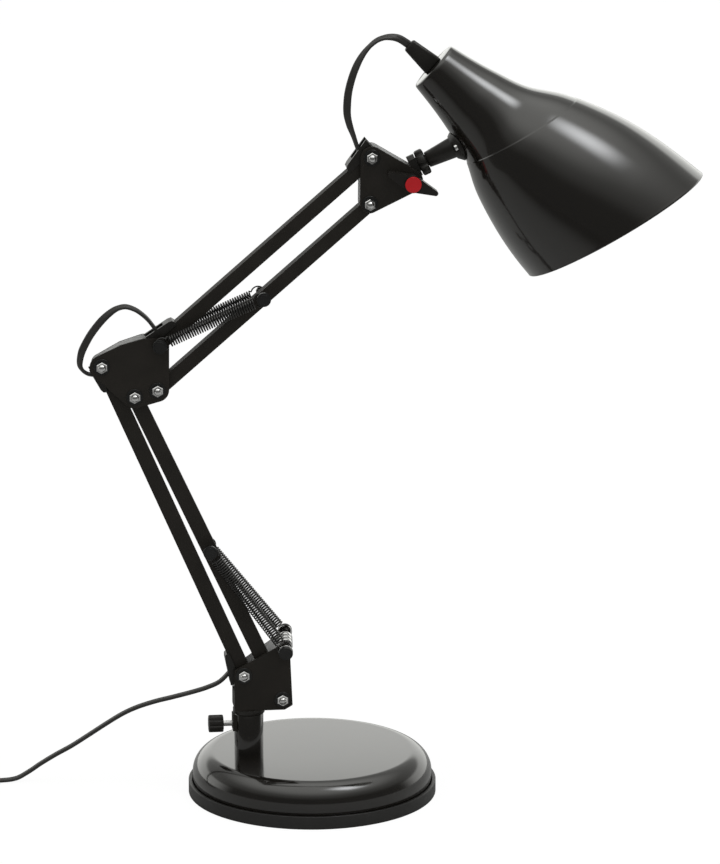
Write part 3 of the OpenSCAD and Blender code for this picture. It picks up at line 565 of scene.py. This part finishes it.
def makePlug():
    low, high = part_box("mains_plug")
    pinLow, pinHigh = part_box("plug_pins")
    place = standing(((low.x + high.x) / 2, low.y, 0), across, up)
    layers = []
    for out, halfWide, halfHigh, centre, corner in [
            (0, 3.2, 2.2, 5.9, 1.6), (0.3, 4.2, 3.2, 5.9, 2.2), (5, 5.2, 4.2, 6.0, 2.6),
            (11, 8.6, 5.8, 6.9, 3.6), (16.5, 12.6, 6.9, 7.9, 4.6), (22, 15.6, 7, 8, 5),
            (29, 17.2, 7, 8, 5.4), (33.8, 17.5, 7, 8, 5.4), (34.7, 17.1, 6.6, 8, 5), (35, 16.4, 5.9, 8, 4.4)]:
        outline = [(x + centre, y) for x, y in roundedBox(halfHigh, halfWide, corner)]
        layers.append((out * mm, [(x * mm, y * mm) for x, y in outline]))
    body = Shape().stack(place, layers).done("plugBody", "black_plastic", "base", ["mains_plug"], sharp=40)
    size = plugSetup
    pins, sleeves = Shape(), Shape()
    for side in (-1, 1):
        foot = Vector(((low.x + high.x) / 2 + side * size["pinOut"], high.y, (pinLow.z + pinHigh.z) / 2))
        r, end = size["pinRadius"], pinHigh.y - high.y
        pins.turn(standing(foot, across), [(size["sleeve"], r * 0.96), (end - 1.6 * mm, r * 0.96)]
                  + arc((end - 1.6 * mm, r * 0.96 - 1.5 * mm), 1.5 * mm, 0, 80, 5), 24)
        sleeves.turn(standing(foot, across), [
            (0, r), (size["sleeve"], r), (size["sleeve"] + 0.2 * mm, r - 0.2 * mm)], 24)
    pinPiece = pins.done("plugPins", "brass", "base", ["plug_pins"])
    sleevePiece = sleeves.done("plugSleeves", "black_plastic", "base")
    return [body, pinPiece, sleevePiece]


makeLoopCord()
makeHeadCord()
makeMainsCord(makePlug())


# ---- Stage and lights ----
print("stage and lights")
studio = dict(
    back=0.75, front=0.10, rear=0.25, sky=0.25, top=0.9, around=0.50, floor=0.80, floorWhite=0.85, glow=1.11,
    near=0.35, far=0.80, floorReach=4.0, boxAt=(0.75, -0.34, 2.15), boxAim=(0.03, 0, 0.25),
    boxSize=1.15, boxStrength=7.0)


def makeWorld():
    world = bpy.data.worlds.new("studio")
    world.use_nodes = True
    bpy.context.scene.world = world
    world.node_tree.nodes.clear()
    graph = Graph(world.node_tree)
    seen, glossy = graph.seenBy("Is Camera Ray"), graph.seenBy("Is Glossy Ray")
    towards = graph.place("Generated")
    behind, height = graph.ease(graph.part(towards, "Y"), -0.05, 0.45), graph.part(towards, "Z")
    low = graph.ease(height, 0.33, 0.42, 1.0, 0.0)
    above = graph.ease(height, 0.60, 0.97) * studio["top"]
    above = above + graph.ease(height, 0.35, 0.65) * (1 - behind) * studio["sky"]
    mirrored = studio["front"] + behind * (studio["rear"] + low * studio["back"]) + above
    strength = seen + (1 - seen) * (glossy * mirrored + (1 - glossy) * studio["around"])
    tint = graph.mixColour(seen, (0.985, 0.99, 0.955, 1), (1, 1, 1, 1))
    light = graph.node("ShaderNodeBackground", None, dict(Color=tint, Strength=strength))
    out = graph.tree.nodes.new("ShaderNodeOutputWorld")
    graph.tree.links.new(light.socket, out.inputs["Surface"])


def stagePanel(name, corners, surface):
    mesh = bpy.data.meshes.new(name)
    mesh.from_pydata(corners, [], [(0, 1, 2, 3)])
    panel = bpy.data.objects.new(name, mesh)
    bpy.context.scene.collection.objects.link(panel)
    material = bpy.data.materials.new(name)
    material.use_nodes = True
    material.node_tree.nodes.clear()
    graph = Graph(material.node_tree)
    out = graph.tree.nodes.new("ShaderNodeOutputMaterial")
    graph.tree.links.new(surface(graph).socket, out.inputs["Surface"])
    mesh.materials.append(material)
    return panel


def floorSurface(graph):
    # painted shade: as seen in reflections, the floor's colour darkens in front of the lamp
    paintedShadeAhead = graph.ease(graph.part(graph.place(), "Y"), -2.0, -0.4, studio["far"], studio["near"])
    tone = graph.mixColour(graph.seenBy("Is Glossy Ray") * paintedShadeAhead, grey(studio["floor"]), grey(0.0))
    card = graph.node("ShaderNodeBsdfDiffuse", None, dict(Color=tone))
    white = graph.node("ShaderNodeEmission", None, dict(Color=(1, 1, 1, 1), Strength=studio["glow"]))
    share = graph.seenBy("Is Camera Ray") * studio["floorWhite"]
    return graph.node("ShaderNodeMixShader", None, {0: share, 1: card, 2: white})


def boxSurface(graph):
    # brightest in the middle, and clear at its edges so that the panel shows no outline
    half = studio["boxSize"] / 2
    place = graph.place()
    x, y = graph.part(place, "X"), graph.part(place, "Y")
    fade = (1 - x * x * (1 / half ** 2)) * (1 - y * y * (1 / half ** 2))
    clear = graph.node("ShaderNodeBsdfTransparent", None, dict(Color=(1, 1, 1, 1)))
    lit = graph.node("ShaderNodeEmission", None, dict(
        Color=(0.97, 0.985, 1, 1), Strength=studio["boxStrength"]))
    return graph.node("ShaderNodeMixShader", None, {0: fade * fade, 1: clear, 2: lit})


def makeLights():
    far, half = studio["floorReach"], studio["boxSize"] / 2
    stagePanel("floor", [(-far, -far, 0), (far, -far, 0), (far, far, 0), (-far, far, 0)], floorSurface)
    softbox = stagePanel(
        "softbox", [(-half, -half, 0), (-half, half, 0), (half, half, 0), (half, -half, 0)], boxSurface)
    softbox.location = studio["boxAt"]
    aim = Vector(studio["boxAim"]) - softbox.location
    softbox.rotation_euler = aim.to_track_quat("-Z", "Y").to_euler()
    softbox.visible_camera = False


makeWorld()
makeLights()


# ---- Base ----
print("base")
baseSetup = dict(
    sheet=1.2 * mm, rounding=14.5 * mm, sides=176, edge=0.5 * mm, pinhole=0.4 * mm, fit=0.2 * mm,
    bottom=3 * mm)
postSetup = dict(wall=1.5 * mm, inside=8 * mm, edge=0.4 * mm)
knobSetup = dict(lobes=8, groove=0.15, chamfer=0.6 * mm)


def makeBase():
    low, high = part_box("base_cover")
    r, top, rounding, sheet = (high.x - low.x) / 2, high.z, baseSetup["rounding"], baseSetup["sheet"]
    middle = (top - rounding, r - rounding)
    pinhole, fit, bottom = (baseSetup[k] for k in ("pinhole", "fit", "bottom"))
    profile = [(top - sheet, pinhole)] + arc(middle, rounding - sheet, 90, 0, 12)
    profile += [(low.z, r - sheet), (low.z, r - 0.3 * mm), (low.z + 0.3 * mm, r)]
    profile += arc(middle, rounding, 0, 90, 24) + [(top, pinhole)]
    Shape().turn(Matrix(), profile, baseSetup["sides"]).done(
        "baseCover", "gloss_paint", "base", ["base_cover"], sharp=60)
    inside = r + fit
    low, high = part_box("base_ring")
    padLow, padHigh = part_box("base_pad")
    r, edge, pad = (high.x - low.x) / 2, baseSetup["edge"], (padHigh.x - padLow.x) / 2 + fit
    profile = [(0, pad), (0, r - edge)] + arc((edge, r - edge), edge, -90, 0, 6)
    profile += arc((high.z - edge, r - edge), edge, 0, 90, 6)
    profile += [(high.z, inside + 0.4 * mm), (high.z - 0.4 * mm, inside), (bottom, inside), (bottom, pad)]
    Shape().turn(Matrix(), profile, baseSetup["sides"], closed=True).done(
        "footRing", "foot_ring", "base", ["base_ring"], sharp=50)
    low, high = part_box("post")
    r, foot = (high.x - low.x) / 2, Vector(((low.x + high.x) / 2, 0, 0))
    bore, edge = r - postSetup["wall"], postSetup["edge"]
    profile = [(high.z - postSetup["inside"], bore), (low.z, bore), (low.z, r), (high.z - edge, r),
               (high.z, r - edge), (high.z, bore)]
    Shape().turn(Matrix.Translation(foot), profile, 72, closed=True).done(
        "post", "gloss_paint", "base", ["post"], sharp=50)


def makeKnob():
    low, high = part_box("thumb_knob")
    r, length, lobes = (high.z - low.z) / 2, high.x - low.x, knobSetup["lobes"]
    place = standing((high.x, 0, (low.z + high.z) / 2), (-1, 0, 0))

    def wave(a):
        dip = max(0.0, math.cos(lobes * (a - math.pi / lobes) + math.pi))
        return 1 - knobSetup["groove"] * dip ** 1.5
    c = knobSetup["chamfer"]
    profile = [(0, r - c), (c * 0.4, r - 0.3 * c), (c, r), (length - c, r)]
    profile += [(length - c * 0.4, r - 0.3 * c), (length, r - c)]
    Shape().turn(place, profile, 96, wave=wave).done(
        "thumbKnob", "black_plastic", "thumb", ["thumb_knob"], sharp=50)


makeBase()
makeKnob()


# ---- Nuts ----
print("nuts")
nutSetup = dict(darkRing=5.6, hex=4.04, dome=2.9)


def domeNuts(name, points, node, body):
    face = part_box(node)[1].y                       # the bracket's near side
    shape = Shape()
    for point in points:
        place = standing((point.x, face, point.z), -across)
        w, h, d = (nutSetup[k] * mm for k in ("darkRing", "hex", "dome"))
        # each nut stands on a dark ring, 5.6 mm in radius, darker than the plate round it
        shape.turn(place, [(0, w), (0.45 * mm, w), (0.6 * mm, w - 0.15 * mm)], 40, look=1)
        shape.turn(place, [(0.6 * mm, h * 0.92), (0.9 * mm, h), (2.8 * mm, h), (3.2 * mm, h * 0.88)], 6)
        shape.turn(place, [(3.0 * mm, d + 0.2 * mm)] + arc((3.0 * mm, 0.3 * mm), d - 0.5 * mm, 0, 86, 10), 32)
    shape.done(name, "plated_steel", body, [node], [finish["plated_steel"], finish["black_steel"]], sharp=28)


domeNuts("lowerNuts", [lowerRear, lowerFront], "lower_pivot_nuts", "swivel")
domeNuts("midNuts", [elbowEnd, elbowFront, upperFront], "mid_pivot_nuts", "elbow")
domeNuts("topNuts", [armEnd, armEndFront], "top_pivot_nuts", "top_joint")


# ---- Springs ----
print("springs")
springSetup = dict(wire=1.0 * mm, outer=8.3 * mm, hook=10.2 * mm, pitch=1.75 * mm, seat=2.0 * mm, steps=14)
hookTurn = dict(first=35, last=325, step=10)
springPin = dict(near=(1.9, 35.6), reach=14.4, lean=(0.08, 0.205))
lowerSpring = dict(anchor=118.6 * mm, half=11.5 * mm)
upperSpring = dict(anchor=95.2 * mm, half=10.0 * mm)


def springPath(p, q):
    size = springSetup
    along = (q - p).normalized()
    side = along.cross(across)
    ring, helix = (size["hook"] - size["wire"]) / 2, (size["outer"] - size["wire"]) / 2
    start = size["seat"] + ring + 0.5 * mm
    length = (q - p).length - 2 * start
    turns = round(length / size["pitch"])

    def hook(centre, towards, angles):
        return [centre + towards * (size["seat"] + ring * math.cos(math.radians(a)))
                + side * ring * math.sin(math.radians(a)) for a in angles]
    angles = range(hookTurn["first"], hookTurn["last"] + 1, hookTurn["step"])
    path = hook(p, along, reversed(angles))
    for k in range(turns * size["steps"] + 1):
        a = 2 * math.pi * k / size["steps"]
        grow = along * (start + length * k / (turns * size["steps"]))
        path.append(p + grow + helix * (side * math.cos(a) + across * math.sin(a)))
    return path + hook(q, -along, angles)


def makeSprings(name, ends, node):
    for label, (p, q) in zip(("Near", "Far"), ends):
        piece = Shape().wire(springPath(p, q), springSetup["wire"] / 2).done(
            name + label, "spring_steel", None, [node], sharp=80)
        tuple(p - 0.15 * (q - p))
        tuple(p + 0.8 * (q - p))
        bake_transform(piece)


def lowerEnds(y):
    reach = springPin["reach"] + y / mm
    pinAt = spot(lowerFront, springPin["near"][0] + reach * springPin["lean"][0],
                 springPin["near"][1] + reach * springPin["lean"][1])
    anchor = lowerFront + frontAlong * lowerSpring["anchor"]
    return pinAt + across * y, anchor + across * y


def upperEnds(y):
    return upperRear + across * y, upperFront + upperAlong * upperSpring["anchor"] + across * y


makeSprings("lowerSpring", [lowerEnds(s * lowerSpring["half"]) for s in (-1, 1)],
            "lower_springs")
makeSprings("upperSpring", [upperEnds(s * upperSpring["half"]) for s in (-1, 1)],
            "upper_springs")


# ---- Shade ----
print("shade")
shadeFrame = standing(shadeEnd, shadeAxis, shadeSide)
shadeSetup = dict(
    sheet=1.0 * mm, length=185 * mm, mouth=66 * mm, slant=17.9, crease=71.8 * mm, step=0.4 * mm,
    sides=160, bead=0.7 * mm)
shadeCurve = [
    (2.5, 18.8), (18, 21.6), (34, 25.3), (57, 32), (81, 45.2), (114, 56.8), (146, 63), (185, 66), (215, 66.5)]
shadeLine = smoothPath([Vector((s * mm, r * mm, 0)) for s, r in shadeCurve], 16)


def shadeRadius(s):
    for a, b in zip(shadeLine, shadeLine[1:]):
        if s <= b.x:
            return a.y + (b.y - a.y) * max(s - a.x, 0) / (b.x - a.x)
    return shadeLine[-1].y


def makeShade():
    size = shadeSetup
    sides = size["sides"]
    lean = math.tan(math.radians(size["slant"]))
    start, mouth = 2.5 * mm, size["length"] - size["mouth"] * lean

    def row(c):
        # the loop where the curve meets a plane that tilts more and more towards the mouth's slant
        tilt = lean * min(1.0, (c - start) / (size["crease"] - start))
        loop = []
        for k in range(sides):
            cosine = math.cos(2 * math.pi * k / sides)
            s = c
            for _ in range(6):
                s = c - tilt * shadeRadius(s) * cosine
            pressed = ease(c, size["crease"] - 0.5 * mm, size["crease"] + 0.3 * mm) - 1
            loop.append((k, s, shadeRadius(s) + size["step"] * pressed))
        return loop

    def points(loop, deeper=0.0, inwards=0.0):
        return [shadeFrame @ Vector((
            (r - inwards) * math.cos(2 * math.pi * k / sides),
            (r - inwards) * math.sin(2 * math.pi * k / sides), s + deeper)) for k, s, r in loop]

    def circle(s, r):
        return [shadeFrame @ Vector((
            r * math.cos(2 * math.pi * k / sides),
            r * math.sin(2 * math.pi * k / sides), s)) for k in range(sides)]
    cuts = [start + (size["crease"] - 1.2 * mm - start) * k / 40 for k in range(41)]
    cuts += [size["crease"] + x * mm for x in (-0.8, -0.5, -0.3, -0.1, 0.1, 0.3, 0.5, 0.9, 1.6)]
    below = size["crease"] + 3 * mm
    cuts += [below + (mouth - 1.2 * mm - below) * k / 48 for k in range(49)]
    loops = [circle(s * mm, r * mm) for s, r in ((0, 5.2), (0, 16.0), (0.25, 17.3), (0.9, 18.0))]
    loops += [points(row(c)) for c in cuts]
    edge, bead, sheet = row(mouth), size["bead"], size["sheet"]
    outside = len(loops) + 3
    loops += [points(edge, -bead * 0.9), points(edge, -bead * 0.25, bead * 0.3), points(edge, 0, bead)]
    loops += [points(edge, -bead * 0.25, bead * 1.7), points(edge, -bead, bead * 2.1)]
    loops += [points(edge, -bead * 1.9, bead * 1.8), points(edge, -bead * 2.6, sheet)]
    loops += [points(row(c), 0, sheet) for c in reversed(cuts[:-2:2])]
    loops += [circle(1.6 * mm, 16.8 * mm), circle(1.0 * mm, 16.2 * mm), circle(1.0 * mm, 5.2 * mm)]
    paint = [0 if band < outside else 1 for band in range(len(loops))]
    Shape().rings(loops, True, paint).done(
        "shade", "gloss_paint", "head", ["shade"], [finish["gloss_paint"], enamel], sharp=50)


makeShade()


# ---- Neck and strain relief ----
print("neck")
neckSetup = dict(
    start=5.5, length=19, narrow=5.5, wide=7.2, ringRadius=9, ringStart=-0.8, ringLength=6, lobes=6,
    groove=0.19)


def makeNeck():
    size = neckSetup
    place = standing(neckPoint, neckAxis, up)
    start, end = size["start"] * mm, (size["start"] + size["length"]) * mm
    profile = [(start, (size["narrow"] - 0.5) * mm), (start + 0.5 * mm, size["narrow"] * mm)]
    profile += [(end, size["wide"] * mm)]
    Shape().turn(place, profile, 56).done("neckTube", "black_plastic", "head", ["neck_tube"], sharp=40)
    start, r = size["ringStart"] * mm, size["ringRadius"] * mm
    end = (size["ringStart"] + size["ringLength"]) * mm

    def wave(a):
        return 1 - size["groove"] * max(0.0, -math.cos(size["lobes"] * a)) ** 1.3
    profile = [(start, r - 1.6 * mm), (start + 0.3 * mm, r - 0.6 * mm), (start + 1.1 * mm, r),
               (end - 1.1 * mm, r), (end - 0.3 * mm, r - 0.6 * mm), (end, r - 1.6 * mm)]
    Shape().turn(place, profile, 120, wave=wave).done(
        "lockRing", "black_plastic", "lock", ["lock_ring"], sharp=50)


def makeRelief():
    size, layers = reliefSetup, []
    for share, tip in [(0, 0.9), (0.02, 0.3), (0.05, 0), (0.96, 0), (0.985, 0.2), (1, 0.8)]:
        narrow, wide = size["wide"]
        half = (narrow + (wide - narrow) * share) / 2 * mm - tip * mm
        layers.append((-size["length"] * (1 - share), roundedBox(half, half * size["flat"], 1.8 * mm)))
    Shape().stack(shadeFrame, layers).done(
        "strainRelief", "black_plastic", "head", ["strain_relief"], sharp=30)


makeNeck()
makeRelief()


# ---- The other pieces keep their CAD shape ----
print("other pieces")
softer = dict(
    lower_bracket=0.35, mid_bracket=0.35, top_bracket=0.35, lower_rear_bar=0.7, lower_front_bar=0.7,
    upper_top_bar=0.7, upper_low_bar=0.7, lower_clips=0.4, upper_clips=0.4, thumb_boss=0.6,
    wing_nut=0.7, red_cap=0.35, neck_lug=0.5, saddle=0.6, lower_spring_bolt=0.4, mid_spring_bolt=0.4,
    upper_spring_bolt=0.4, lower_spring_pin=0.4, lower_pin_sleeves=0.15, lower_pivot_bolts=0.4,
    mid_pivot_bolts=0.4, top_pivot_bolts=0.4, tilt_bolt=0.4, lamp_holder=1.0, swivel_collar=0.3)


softening = dict(merge=0.02 * mm, flatAngle=0.5, edgeAngle=30, segments=3)


def soften(node, width):
    # joins and flattens the triangles first, so that only true edges are rounded
    weld = node.modifiers.new("weld", "WELD")
    weld.merge_threshold = softening["merge"]
    flat = node.modifiers.new("flat", "DECIMATE")
    flat.decimate_type = "DISSOLVE"
    flat.angle_limit = math.radians(softening["flatAngle"])
    rounding = node.modifiers.new("rounding", "BEVEL")
    rounding.width = width
    rounding.segments = softening["segments"]
    rounding.limit_method = "ANGLE"
    rounding.angle_limit = math.radians(softening["edgeAngle"])
    rounding.harden_normals = True


def finishNodes():
    for name, node in frame["nodes"].items():
        if node.hide_render:
            continue
        node.data.materials.clear()
        node.data.materials.append(plates if "bracket" in name else finish[slots[name]])
        if name in softer:
            soften(node, softer[name] * mm)


finishNodes()
